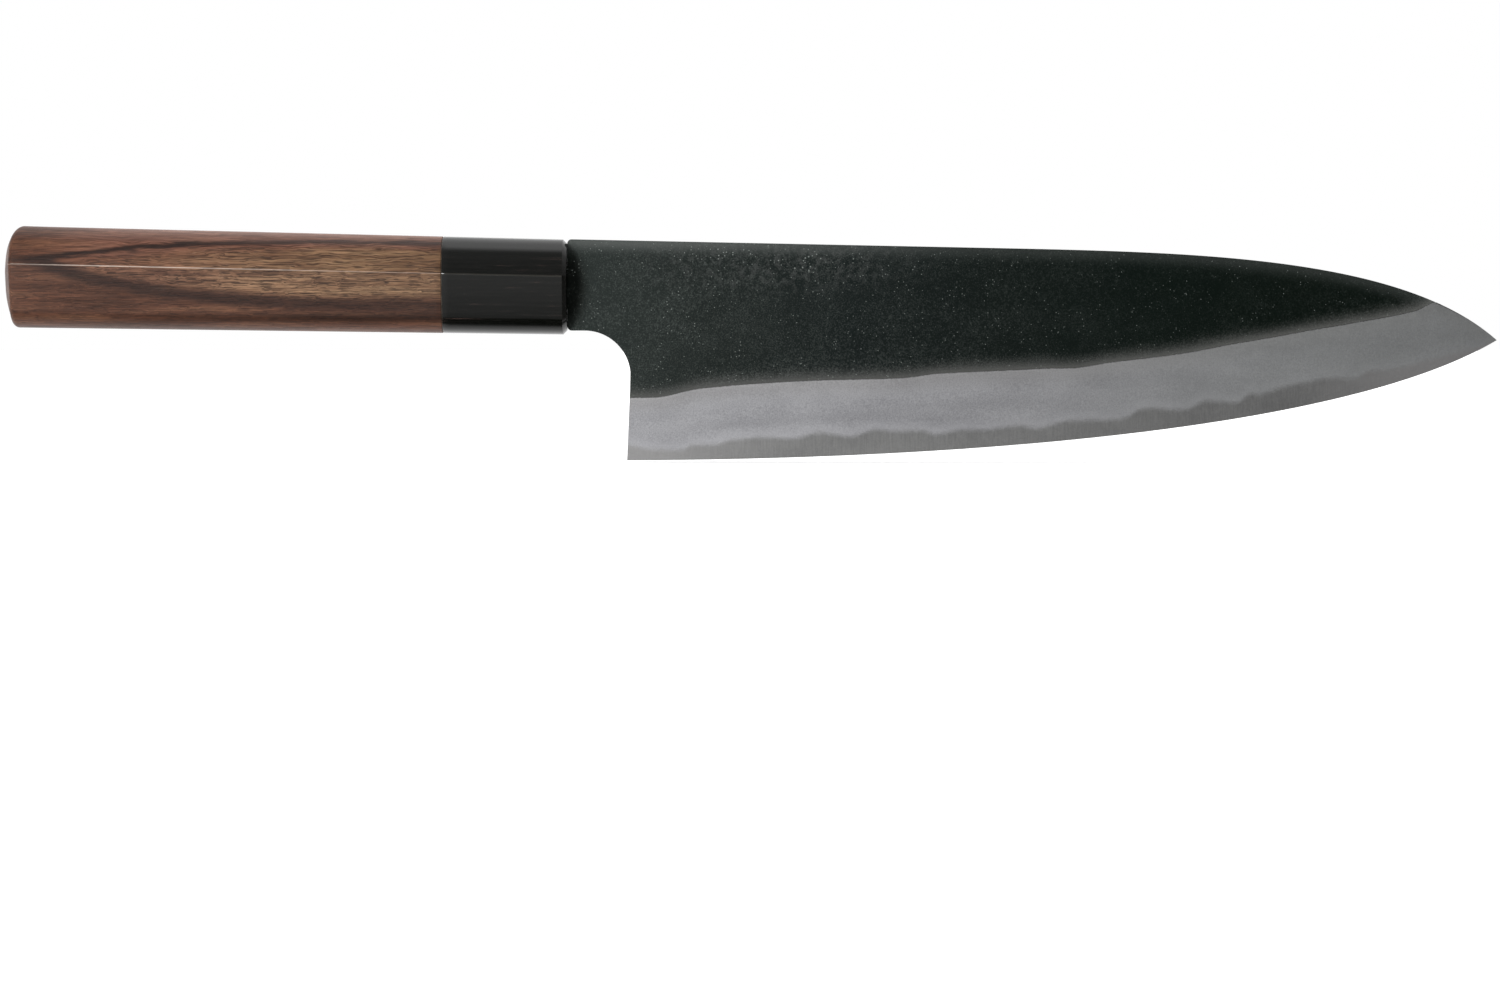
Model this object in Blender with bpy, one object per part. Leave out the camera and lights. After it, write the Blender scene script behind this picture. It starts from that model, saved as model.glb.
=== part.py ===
"""A laminated chef knife with a ridged oval wooden handle, built as eight separate pieces.

+X runs from the butt of the handle to the tip of the blade, +Z from the cutting edge to the spine,
and the right face of the blade looks along -Y. The origin is under the middle of the knife, level
with the lowest point of the edge. Every length is in metres.
"""

import math

import bmesh
import bpy
import numpy as np
from mathutils import Matrix, Vector

MM = 0.001

# The whole knife
OVERALL_LENGTH = 359.8 * MM
HANDLE_LENGTH = 135.5 * MM
FERRULE_LENGTH = 29.9 * MM
EDGE_LENGTH = 210.0 * MM
BUTT_X = -OVERALL_LENGTH / 2
TIP_X = OVERALL_LENGTH / 2
SHOULDER_X = BUTT_X + HANDLE_LENGTH
JOINT_X = SHOULDER_X - FERRULE_LENGTH
HEEL_X = TIP_X - EDGE_LENGTH

# The blade seen from its side
TIP_Z = 29.0 * MM
NECK_TOP_Z = 53.3 * MM
NECK_BOTTOM_Z = 31.3 * MM
NECK_CORNER_RADIUS = 1.0 * MM
HEEL_LEAN = 0.9 * MM
CHOIL_RADIUS = 11.1 * MM
CHOIL_END_X = HEEL_X + HEEL_LEAN
SPINE_STRAIGHT_END = Vector((SHOULDER_X + 102.3 * MM, 51.2 * MM))
SPINE_START_PULL = 49.9 * MM
SPINE_TIP_PULL = 30.7 * MM
SPINE_TIP_ANGLE = math.radians(41.1)
EDGE_HEEL_PULL = 34.2 * MM
EDGE_TIP_PULL = 52.8 * MM
EDGE_TIP_ANGLE = math.radians(31.0)
BEVEL_HEEL_Z = 14.7 * MM
BEVEL_HEEL_GUIDE = Vector((HEEL_X + 56.2 * MM, 23.6 * MM))
BEVEL_TIP_GUIDE = Vector((TIP_X - 101.0 * MM, 15.4 * MM))
BEVEL_END_X = TIP_X - 14.8 * MM

# The blade's thickness, as half thicknesses from its middle plane
SHOULDER_HALF = 1.9 * MM
TAPER_PER_LENGTH = 0.0043
TAPER_PER_HEIGHT = 0.0100
EDGE_HALF = 0.10 * MM
CORE_HALF = 0.36 * MM
LAYER_GAP = 0.02 * MM
CLADDING_LEAST = 0.06 * MM

# The tang
TANG_LENGTH = 85.0 * MM
TANG_OVERLAP = 2.0 * MM
TANG_ROOT = Vector((3.0 * MM, 9.5 * MM))
TANG_END = Vector((2.0 * MM, 5.2 * MM))

# The handle: its axis rises towards the butt, and its section changes evenly along it
AXIS_SHOULDER_Z = 41.8 * MM
AXIS_TILT = math.radians(1.07)
HANDLE_HEIGHT = (22.9 * MM, 24.5 * MM)
HANDLE_WIDTH = (19.0 * MM, 20.6 * MM)
RIDGE_RISE = (2.45 * MM, 2.95 * MM)
UPPER_FACET_LEAN = math.tan(math.radians(20))
LOWER_FACET_LEAN = math.tan(math.radians(14))
UPPER_CROWN_SHARE = 0.17
LOWER_CROWN_SHARE = 0.165
FACET_BOW = 0.12 * MM
BUTT_DOME = 1.9 * MM
BUTT_ROUNDING = 1.4 * MM
BUTT_CORNER_CUT = 1.3 * MM
CORNER_CUT_FROM = 0.5
CORNER_CUT_END_X = BUTT_X + 10.8 * MM
FERRULE_CHAMFER = 1.0 * MM
FERRULE_FRONT_WALL = 4.0 * MM

# The joinery inside the handle
FIT_GAP = 0.3 * MM
GLUE_GAP = 0.05 * MM
JOINT_GAP = 0.25 * MM
DOWEL_RADIUS = 7.0 * MM
DOWEL_LENGTH = 88.0 * MM
DOWEL_SLOT = Vector((4.2 * MM, 10.6 * MM))
DOWEL_SLOT_DEPTH = 84.0 * MM
DRILL_POINT = math.radians(118.0)
GLUE_FLANGE_INSET = 0.3 * MM

# How finely the surfaces are divided
STATION_STEP = 4.5 * MM
CORNER_STEPS = 4
CHOIL_STEPS = 12
ROUND_STEPS = 48
FACET_STEPS = 4
QUARTER_STEPS = 10
DOME_SHARES = (0.03, 0.4, 0.7, 0.9)
ROUND_PULL = 0.58
CURVE_SAMPLES = 400
SHARP_ANGLE = math.radians(25)
MERGE_DISTANCE = 1e-7
CUTTER_REACH = 5.0 * MM


# Curves in the plane of the blade


def evenly(start, end, steps):
    """Values from start to end, in equal steps."""
    return [start + (end - start) * i / steps for i in range(steps + 1)]


def bezier(start, start_guide, end_guide, end, steps):
    """Points along one cubic curve, as a list of vectors."""
    points = []
    for t in evenly(0, 1, steps):
        s = 1 - t
        near_start = s**3 * start + 3 * s**2 * t * start_guide
        near_end = 3 * s * t**2 * end_guide + t**3 * end
        points.append(near_start + near_end)
    return points


def heights_along(points):
    """A function that gives the height of a line of points at any x."""
    xs = [point.x for point in points]
    zs = [point.y for point in points]
    return lambda x: float(np.interp(x, xs, zs))


def spine_curve():
    """Straight from the shoulder, then one long curve down to the tip."""
    start = Vector((SHOULDER_X, NECK_TOP_Z))
    direction = (SPINE_STRAIGHT_END - start).normalized()
    tip = Vector((TIP_X, TIP_Z))
    back_from_tip = Vector((-math.cos(SPINE_TIP_ANGLE), math.sin(SPINE_TIP_ANGLE)))
    curve = bezier(
        SPINE_STRAIGHT_END,
        SPINE_STRAIGHT_END + SPINE_START_PULL * direction,
        tip + SPINE_TIP_PULL * back_from_tip,
        tip,
        CURVE_SAMPLES,
    )
    return heights_along([start] + curve)


def edge_curve():
    """Almost flat at the heel, with its belly rising to the tip."""
    heel = Vector((HEEL_X, 0))
    tip = Vector((TIP_X, TIP_Z))
    back_from_tip = -Vector((math.cos(EDGE_TIP_ANGLE), math.sin(EDGE_TIP_ANGLE)))
    return heights_along(
        bezier(
            heel,
            heel + Vector((EDGE_HEEL_PULL, 0)),
            tip + EDGE_TIP_PULL * back_from_tip,
            tip,
            CURVE_SAMPLES,
        )
    )


spine_height = spine_curve()
edge_height = edge_curve()


def bevel_curve():
    """The line where the flat ends and the ground bevel starts, from the heel to the spine."""
    start = Vector((CHOIL_END_X, BEVEL_HEEL_Z))
    end = Vector((BEVEL_END_X, spine_height(BEVEL_END_X)))
    return heights_along(bezier(start, BEVEL_HEEL_GUIDE, BEVEL_TIP_GUIDE, end, CURVE_SAMPLES))


bevel_height = bevel_curve()


# Thickness of the blade


def flat_half(x, z):
    """Half thickness on the flat, a true plane that thins towards the tip and the edge."""
    towards_tip = x - SHOULDER_X
    towards_edge = NECK_TOP_Z - z
    return SHOULDER_HALF - TAPER_PER_LENGTH * towards_tip - TAPER_PER_HEIGHT * towards_edge


def bevel_top(x):
    """Height and half thickness where the bevel starts. Past the flat's end it starts at the spine."""
    if x < BEVEL_END_X:
        height = bevel_height(x)
        return height, flat_half(x, height)
    start = flat_half(BEVEL_END_X, spine_height(BEVEL_END_X))
    left = (TIP_X - x) / (TIP_X - BEVEL_END_X)
    return spine_height(x), EDGE_HALF + (start - EDGE_HALF) * left


def spine_half(x):
    """Half thickness at the spine."""
    if x < BEVEL_END_X:
        return flat_half(x, spine_height(x))
    return bevel_top(x)[1]


def height_on_bevel(x, half):
    """Height at which the bevel has the given half thickness."""
    top, top_half = bevel_top(x)
    if half >= top_half:
        return top
    low = edge_height(x)
    return low + (top - low) * (half - EDGE_HALF) / (top_half - EDGE_HALF)


def neck_drop(x):
    """How far the rounded corner lowers the spine just in front of the shoulder."""
    run = NECK_CORNER_RADIUS - (x - SHOULDER_X)
    if run <= 0:
        return 0.0
    return NECK_CORNER_RADIUS - math.sqrt(max(NECK_CORNER_RADIUS**2 - run**2, 0))


def stations(end):
    """Places of the cross-sections from the shoulder to the given end, closer at the neck's corner."""
    radius = NECK_CORNER_RADIUS
    turns = evenly(0, math.pi / 2, CORNER_STEPS)
    corner = [SHOULDER_X + radius * (1 - math.cos(turn)) for turn in turns]
    steps = math.ceil((end - corner[-1]) / STATION_STEP)
    along = evenly(corner[-1], end, steps)
    return sorted(set(corner[:-1] + along + [BEVEL_END_X]))


# Mesh helpers


def new_object(name, mesh_builder, shape):
    """Links an object whose mesh comes from a finished bmesh."""
    bmesh.ops.remove_doubles(mesh_builder, verts=mesh_builder.verts, dist=MERGE_DISTANCE)
    bmesh.ops.dissolve_degenerate(mesh_builder, edges=mesh_builder.edges, dist=MERGE_DISTANCE)
    bmesh.ops.recalc_face_normals(mesh_builder, faces=mesh_builder.faces)
    mesh = bpy.data.meshes.new(name)
    mesh_builder.to_mesh(mesh)
    mesh_builder.free()
    if shape == "round":
        mesh.shade_smooth()
        mesh.set_sharp_from_angle(angle=SHARP_ANGLE)
    thing = bpy.data.objects.new(name, mesh)
    bpy.context.scene.collection.objects.link(thing)
    return thing


def loft(name, sections, shape="flat"):
    """A closed solid through rings of equal point counts. The end rings are filled."""
    builder = bmesh.new()
    rings = [[builder.verts.new(point) for point in section] for section in sections]
    count = len(rings[0])
    for ring, following in zip(rings, rings[1:]):
        for i in range(count):
            j = (i + 1) % count
            builder.faces.new((ring[i], ring[j], following[j], following[i]))
    builder.faces.new(rings[0])
    builder.faces.new(rings[-1])
    return new_object(name, builder, shape)


def cut(target, cutter, operation="DIFFERENCE"):
    """Adds a Boolean to the target and hides the object that it uses."""
    modifier = target.modifiers.new(cutter.name, "BOOLEAN")
    modifier.operation = operation
    modifier.solver = "EXACT"
    modifier.object = cutter
    cutter.hide_render = True
    cutter.display_type = "WIRE"


def box_section(x, width, height, middle_z, middle_y=0.0):
    """Four corners of a rectangle across the knife."""
    half_y = width / 2
    half_z = height / 2
    corners = ((-1, -1), (1, -1), (1, 1), (-1, 1))
    return [(x, middle_y + a * half_y, middle_z + b * half_z) for a, b in corners]


def axis_z(x):
    """Height of the handle's axis."""
    return AXIS_SHOULDER_Z + (SHOULDER_X - x) * math.tan(AXIS_TILT)


def rod(name, start, end, radius, end_cone=0.0):
    """A round rod on the handle's axis. start and end are distances behind the shoulder."""
    rings = []
    for distance, size in ((start, radius), (end, radius), (end + end_cone, 0.0)):
        ring = []
        for i in range(ROUND_STEPS):
            turn = 2 * math.pi * i / ROUND_STEPS
            ring.append(Vector((-distance, size * math.cos(turn), size * math.sin(turn))))
        rings.append(ring)
    if end_cone == 0:
        rings.pop()
    to_shoulder = Matrix.Translation((SHOULDER_X, 0, AXIS_SHOULDER_Z))
    to_axis = to_shoulder @ Matrix.Rotation(AXIS_TILT, 4, "Y")
    return loft(name, [[to_axis @ point for point in ring] for ring in rings], "round")


def slot_bar(name, start, end, root, tip, grow=0.0):
    """A bar along the handle's axis, whose section (width, height) goes from root to tip."""
    sections = []
    for distance, size in ((start, root), (end, tip)):
        x = SHOULDER_X - distance
        sections.append(box_section(x, size.x + 2 * grow, size.y + 2 * grow, axis_z(x)))
    return loft(name, sections)


# The blade's layers


def core_section(x):
    """Cross-section of the hard core: its flat sides, its ground bevels and the thin edge."""
    top = spine_height(x) - neck_drop(x)
    half = min(CORE_HALF, spine_half(x))
    line = height_on_bevel(x, half)
    low = edge_height(x)
    right = [(x, -half, top), (x, -half, line), (x, -EDGE_HALF, low)]
    left = [(x, EDGE_HALF, low), (x, half, line), (x, half, top)]
    return right + left


def cladding_section(x, side):
    """Cross-section of one cladding: inner face, spine, flat and bevel. side is -1 for the right."""
    inner = CORE_HALF + LAYER_GAP
    top = spine_height(x) - neck_drop(x)
    shoulder, shoulder_half = bevel_top(x)
    return [
        (x, side * inner, top),
        (x, side * min(flat_half(x, top), spine_half(x)), top),
        (x, side * shoulder_half, shoulder),
        (x, side * inner, height_on_bevel(x, inner)),
    ]


def cladding_end_x():
    """Where the bevel has thinned the cladding to almost nothing, short of the tip."""
    start = spine_half(BEVEL_END_X) - EDGE_HALF
    left = (CORE_HALF + LAYER_GAP + CLADDING_LEAST - EDGE_HALF) / start
    return TIP_X - left * (TIP_X - BEVEL_END_X)


def choil_cutter():
    """The space behind the heel and under the neck, with the round corner of the choil."""
    middle = Vector((CHOIL_END_X - CHOIL_RADIUS, NECK_BOTTOM_Z - CHOIL_RADIUS))
    outline = [Vector((SHOULDER_X - CUTTER_REACH, NECK_BOTTOM_Z))]
    for turn in evenly(math.pi / 2, 0, CHOIL_STEPS):
        outline.append(middle + CHOIL_RADIUS * Vector((math.cos(turn), math.sin(turn))))
    heel_slope = (CHOIL_END_X - HEEL_X) / middle.y
    outline.append(Vector((HEEL_X - heel_slope * CUTTER_REACH, -CUTTER_REACH)))
    outline.append(Vector((SHOULDER_X - CUTTER_REACH, -CUTTER_REACH)))
    sides = (-CUTTER_REACH, CUTTER_REACH)
    return loft("choil_cutter", [[(point.x, y, point.y) for point in outline] for y in sides])


def tang_layer(name, inner, outer_root, outer_tip):
    """One layer of the tang, from y = inner to the outer face, rooted a little inside the neck."""
    sections = []
    for distance, outer, height in (
        (-TANG_OVERLAP, outer_root, TANG_ROOT.y),
        (TANG_LENGTH, outer_tip, TANG_END.y),
    ):
        x = SHOULDER_X - distance
        width = abs(outer - inner)
        sections.append(box_section(x, width, height, axis_z(x), (inner + outer) / 2))
    return loft(name, sections)


def make_blade():
    """The hard core and the two claddings forged onto it, each with its share of the tang."""
    choil = choil_cutter()
    core = loft("core_steel", [core_section(x) for x in stations(TIP_X)])
    cut(core, choil)
    cut(core, tang_layer("core_tang", -CORE_HALF, CORE_HALF, CORE_HALF), "UNION")
    layers = [core]
    for name, side in (("right_cladding", -1), ("left_cladding", 1)):
        layer = loft(name, [cladding_section(x, side) for x in stations(cladding_end_x())])
        inner = side * (CORE_HALF + LAYER_GAP)
        tang = tang_layer(name + "_tang", inner, side * TANG_ROOT.x / 2, side * TANG_END.x / 2)
        cut(layer, choil)
        cut(layer, tang, "UNION")
        layers.append(layer)
    return layers


# The handle


def along_handle(x, sizes):
    """A size that changes evenly from the shoulder to the butt."""
    share = (SHOULDER_X - x) / HANDLE_LENGTH
    return sizes[0] + (sizes[1] - sizes[0]) * share


def facet_and_crown(ridge, top, lean, crown_share):
    """From the ridge along a slightly bowed facet, then round the crown to the point top."""
    rise = 1 if top.y > ridge.y else -1
    direction = Vector((lean, rise))
    corner = ridge + direction * abs(top.y - ridge.y)
    facet_end = ridge + direction * (abs(top.y - ridge.y) - crown_share * 2 * abs(top.y))
    bow = Vector((-FACET_BOW, 0))
    facet = bezier(
        ridge,
        ridge.lerp(facet_end, 1 / 3) + bow,
        ridge.lerp(facet_end, 2 / 3) + bow,
        facet_end,
        FACET_STEPS,
    )
    crown = bezier(
        facet_end,
        facet_end.lerp(corner, ROUND_PULL),
        top.lerp(corner, ROUND_PULL),
        top,
        QUARTER_STEPS,
    )
    return facet[:-1] + crown


def handle_ring(x, inset=0.0, corner_cut=0.0):
    """One outline of the handle: an oval whose right side comes to a ridge. Its top can lean forward."""
    half_height = along_handle(x, HANDLE_HEIGHT) / 2
    half_width = along_handle(x, HANDLE_WIDTH) / 2
    ridge = Vector((-half_width, along_handle(x, RIDGE_RISE)))
    top = Vector((0, half_height))
    bottom = Vector((0, -half_height))
    left = Vector((half_width, 0))
    pull_y = Vector((ROUND_PULL * half_width, 0))
    pull_z = Vector((0, ROUND_PULL * half_height))
    upper = facet_and_crown(ridge, top, UPPER_FACET_LEAN, UPPER_CROWN_SHARE)
    lower = facet_and_crown(ridge, bottom, LOWER_FACET_LEAN, LOWER_CROWN_SHARE)
    outline = (
        upper
        + bezier(top, top + pull_y, left + pull_z, left, QUARTER_STEPS)[1:]
        + bezier(left, left - pull_z, bottom + pull_y, bottom, QUARTER_STEPS)[1:]
        + lower[-2:0:-1]
    )
    scale = 1 - inset / half_height
    ring = []
    for point in outline:
        near_top = max(scale * point.y / half_height - CORNER_CUT_FROM, 0.0) / (1 - CORNER_CUT_FROM)
        forward = corner_cut * near_top**2
        ring.append((x + forward, scale * point.x, axis_z(x) + scale * point.y))
    return ring


def butt_rings():
    """The slightly domed end of the handle, its rounded rim and the cut corner at the top of the butt."""
    rings = []
    half_height = HANDLE_HEIGHT[1] / 2
    for share in DOME_SHARES:
        x = BUTT_X + BUTT_DOME * share**2
        inset = half_height - share * (half_height - BUTT_ROUNDING)
        rings.append(handle_ring(x, inset, BUTT_CORNER_CUT))
    for turn in evenly(0, math.pi / 2, CORNER_STEPS):
        x = BUTT_X + BUTT_DOME + BUTT_ROUNDING * (1 - math.cos(turn))
        rings.append(handle_ring(x, BUTT_ROUNDING * (1 - math.sin(turn)), BUTT_CORNER_CUT))
    rings.append(handle_ring(CORNER_CUT_END_X))
    return rings


def make_handle_body():
    """The wooden handle, with a drilled blind hole for the dowel."""
    body = loft("handle_body", butt_rings() + [handle_ring(JOINT_X - JOINT_GAP / 2)], "round")
    hole = DOWEL_RADIUS + FIT_GAP
    depth = FERRULE_FRONT_WALL + FIT_GAP + DOWEL_LENGTH + FIT_GAP
    cone = hole / math.tan(DRILL_POINT / 2)
    cut(body, rod("body_hole", FERRULE_FRONT_WALL, depth, hole, cone))
    return body


def make_ferrule():
    """The dark ferrule: bored for the dowel, with a narrow mouth for the tang."""
    rings = [
        handle_ring(JOINT_X + JOINT_GAP / 2),
        handle_ring(SHOULDER_X - GLUE_GAP - FERRULE_CHAMFER),
        handle_ring(SHOULDER_X - GLUE_GAP, FERRULE_CHAMFER),
    ]
    ferrule = loft("ferrule", rings, "round")
    bore = rod("ferrule_bore", FERRULE_FRONT_WALL, FERRULE_LENGTH + CUTTER_REACH, DOWEL_RADIUS + FIT_GAP)
    mouth_depth = FERRULE_FRONT_WALL + FIT_GAP
    mouth = slot_bar("ferrule_mouth", -CUTTER_REACH, mouth_depth, TANG_ROOT, TANG_ROOT, FIT_GAP)
    cut(ferrule, bore)
    cut(ferrule, mouth)
    return ferrule


def make_dowel():
    """The inner dowel that joins the ferrule to the body, slotted from the front for the tang."""
    start = FERRULE_FRONT_WALL + FIT_GAP
    dowel = rod("dowel", start, start + DOWEL_LENGTH, DOWEL_RADIUS)
    slot = slot_bar("dowel_slot", 0, start + DOWEL_SLOT_DEPTH, DOWEL_SLOT, DOWEL_SLOT)
    cut(dowel, slot)
    return dowel


def make_tang_adhesive():
    """The resin that beds the tang in the dowel's slot."""
    start = FERRULE_FRONT_WALL + FIT_GAP
    end = start + DOWEL_SLOT_DEPTH - GLUE_GAP
    bed = slot_bar("tang_adhesive", start, end, DOWEL_SLOT, DOWEL_SLOT, -GLUE_GAP)
    pocket = slot_bar("tang_pocket", 0, TANG_LENGTH + GLUE_GAP, TANG_ROOT, TANG_END, GLUE_GAP)
    cut(bed, pocket)
    return bed


def make_dowel_glue():
    """The glue round the dowel and between the ferrule and the body."""
    half = JOINT_GAP / 2 - GLUE_GAP
    flange = [handle_ring(x, GLUE_FLANGE_INSET) for x in (JOINT_X - half, JOINT_X + half)]
    glue = loft("dowel_glue", flange, "round")
    start = FERRULE_FRONT_WALL + 2 * FIT_GAP
    end = start + DOWEL_LENGTH - 2 * FIT_GAP
    cut(glue, rod("glue_sleeve", start, end, DOWEL_RADIUS + FIT_GAP - GLUE_GAP), "UNION")
    cut(glue, rod("glue_hole", 0, end + CUTTER_REACH, DOWEL_RADIUS + GLUE_GAP))
    return glue


# Finish


def give_material(thing, colour, roughness, metallic):
    """Gives an object its own Principled material."""
    material = bpy.data.materials.new(thing.name)
    material.use_nodes = True
    shader = material.node_tree.nodes["Principled BSDF"]
    shader.inputs["Base Color"].default_value = (*colour, 1)
    shader.inputs["Roughness"].default_value = roughness
    shader.inputs["Metallic"].default_value = metallic
    thing.data.materials.append(material)


def main():
    for thing in list(bpy.data.objects):
        bpy.data.objects.remove(thing)
    core, right, left = make_blade()
    give_material(core, (0.42, 0.42, 0.43), 0.30, 1.0)
    give_material(right, (0.030, 0.033, 0.032), 0.60, 0.6)
    give_material(left, (0.030, 0.033, 0.032), 0.60, 0.6)
    give_material(make_handle_body(), (0.16, 0.085, 0.055), 0.45, 0.0)
    give_material(make_ferrule(), (0.018, 0.017, 0.016), 0.35, 0.0)
    give_material(make_dowel(), (0.55, 0.40, 0.24), 0.70, 0.0)
    give_material(make_tang_adhesive(), (0.35, 0.27, 0.12), 0.25, 0.0)
    give_material(make_dowel_glue(), (0.06, 0.05, 0.04), 0.30, 0.0)


main()
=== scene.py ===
"""The looks of the chef knife: its forged blade layers, rosewood handle and black ferrule, in soft light.

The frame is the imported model. +X runs from the butt to the tip, +Z from the edge to the spine, and
the right face of the blade looks along -Y. Every length is in metres.
"""

import math

import bmesh
import bpy
import numpy as np
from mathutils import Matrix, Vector, noise


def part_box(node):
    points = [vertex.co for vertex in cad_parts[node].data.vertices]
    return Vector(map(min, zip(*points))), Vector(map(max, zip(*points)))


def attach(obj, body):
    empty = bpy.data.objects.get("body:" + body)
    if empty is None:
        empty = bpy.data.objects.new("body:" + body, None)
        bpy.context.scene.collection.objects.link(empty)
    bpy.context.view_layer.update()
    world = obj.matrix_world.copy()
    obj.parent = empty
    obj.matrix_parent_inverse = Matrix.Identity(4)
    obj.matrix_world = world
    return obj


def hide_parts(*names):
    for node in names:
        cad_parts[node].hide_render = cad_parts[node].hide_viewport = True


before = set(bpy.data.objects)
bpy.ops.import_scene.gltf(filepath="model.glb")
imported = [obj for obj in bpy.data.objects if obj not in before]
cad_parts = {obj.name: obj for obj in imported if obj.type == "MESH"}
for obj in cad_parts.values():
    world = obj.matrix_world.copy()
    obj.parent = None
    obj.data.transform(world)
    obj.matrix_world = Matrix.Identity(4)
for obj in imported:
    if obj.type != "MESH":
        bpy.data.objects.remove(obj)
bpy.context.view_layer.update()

MM = 0.001

# The whole knife, placed from the frame
BUTT_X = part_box("handle_body")[0].x
TIP_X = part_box("core_steel")[1].x
HANDLE_LENGTH = 135.5 * MM
SHOULDER_X = BUTT_X + HANDLE_LENGTH
BODY_FRONT_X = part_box("handle_body")[1].x
FERRULE_BACK_X, FERRULE_FRONT_X = (corner.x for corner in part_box("ferrule"))
HEEL_X = TIP_X - 210.0 * MM

# The blade seen from its side
TIP_Z = 29.0 * MM
NECK_TOP_Z = 53.3 * MM
NECK_BOTTOM_Z = 31.3 * MM
NECK_CORNER_RADIUS = 1.0 * MM
CHOIL_RADIUS = 11.1 * MM
HEEL_LEAN = 0.9 * MM
HEEL_LEAN_REACH = 12.0 * MM
CHOIL_END_X = HEEL_X + HEEL_LEAN
CHOIL_END_Z = NECK_BOTTOM_Z - CHOIL_RADIUS
SPINE_STRAIGHT_END = Vector((SHOULDER_X + 102.3 * MM, 51.2 * MM))
SPINE_START_PULL = 49.9 * MM
SPINE_TIP_PULL = 30.7 * MM
SPINE_TIP_ANGLE = math.radians(41.1)
EDGE_HEEL_PULL = 34.2 * MM
EDGE_TIP_PULL = 52.8 * MM
EDGE_TIP_ANGLE = math.radians(31.0)
BEVEL_HEEL_Z = 14.7 * MM
BEVEL_HEEL_GUIDE = Vector((HEEL_X + 56.2 * MM, 23.6 * MM))
BEVEL_TIP_GUIDE = Vector((TIP_X - 101.0 * MM, 15.4 * MM))
BEVEL_END_X = TIP_X - 14.8 * MM

# The two listed lines of the blade, in mm from the heel. The first wanders about the even curve of
# the bevel, and the second, where the hard core comes out, is given by its height above the edge.
BEVEL_WANDER = (
    (0, 0.15), (8, -0.65), (18, 0.2), (44, 0.0), (66, -0.5), (76, 0.15), (101, -0.3), (108.5, -0.75),
    (118, -0.25), (134, -0.25), (147, 0.2), (162, 0.15), (175, -0.35), (190, -1.0), (195.2, 0),
)
WELD_HEIGHTS = (
    (0, 4.0), (6, 3.0), (13, 2.7), (16, 3.9), (20.5, 3.9), (25, 4.9), (32, 5.4), (40.5, 5.0), (46, 6.1),
    (54, 4.9), (60, 6.3), (64.5, 5.6), (71, 5.4), (74.5, 4.3), (80.5, 4.95), (87, 4.6), (95, 4.9),
    (99, 3.9), (106.5, 5.0), (118.5, 4.15), (121, 4.5), (124, 5.95), (127, 5.75), (135, 4.4), (139.5, 5.75),
    (144, 4.9), (147.5, 4.25), (150.5, 5.75), (153, 5.2), (159, 6.0), (167, 5.9), (170.5, 5.5),
    (176, 4.15), (179, 5.0), (184.5, 3.85), (193, 3.2), (204, 1.5), (210, 0.2),
)

# The blade's thickness, as half thicknesses from its middle plane
SHOULDER_HALF = 1.9 * MM
TAPER_PER_LENGTH = 0.0043
TAPER_PER_HEIGHT = 0.0100
BEVEL_TIP_HALF = 0.03 * MM
EDGE_HALF = 0.015 * MM
EDGE_STROP = 0.12 * MM
CORE_HALF = 0.36 * MM
LAYER_GAP = 0.02 * MM
SPINE_ROUNDING = 0.35 * MM
FORGING_UNEVENNESS = 0.035 * MM
HAMMER_MARK = Vector((16 * MM, 9 * MM))
FACES_APART = 7.3
FADE_AT_SPINE = 2 * MM
FADE_AT_BEVEL = 3 * MM
NECK_ROUNDING_FADE = 3 * MM
ROUNDING_MOST_SHARE = 0.8
WELD_MOST_SHARE = 0.62
CORE_TIP_SHARE = 0.55
CLADDING_END = 0.001 * MM

# The tang inside the handle
TANG_LENGTH = 85.0 * MM
TANG_ROOT = Vector((3.0 * MM, 9.5 * MM))
TANG_END = Vector((2.0 * MM, 5.2 * MM))

# The handle: its axis rises towards the butt, and its section changes evenly along it
AXIS_SHOULDER_Z = 41.8 * MM
AXIS_TILT = math.radians(1.07)
HANDLE_HEIGHT = (22.9 * MM, 24.5 * MM)
HANDLE_WIDTH = (19.0 * MM, 20.6 * MM)
RIDGE_RISE = (2.45 * MM, 2.95 * MM)
UPPER_FACET_LEAN = math.tan(math.radians(20))
LOWER_FACET_LEAN = math.tan(math.radians(14))
UPPER_CROWN_SHARE = 0.17
LOWER_CROWN_SHARE = 0.165
FACET_BOW = 0.12 * MM
RIDGE_SOFTENING = 0.16 * MM
BUTT_DOME = 1.9 * MM
BUTT_ROUNDING = 1.4 * MM
BUTT_CORNER_CUT = 1.3 * MM
CORNER_CUT_FROM = 0.5
FERRULE_CHAMFER = 1.0 * MM
FERRULE_FRONT_WALL = 4.0 * MM
BODY_EDGE_ROUNDING = 0.12 * MM
FERRULE_EDGE_ROUNDING = 0.02 * MM
BORE_RADIUS = 7.3 * MM
BORE_DEPTH = 92.6 * MM
DRILL_POINT_DEPTH = 4.4 * MM
DRILL_POINT_RADIUS = 0.1 * MM
MOUTH = Vector((3.6 * MM, 10.1 * MM))

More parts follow.
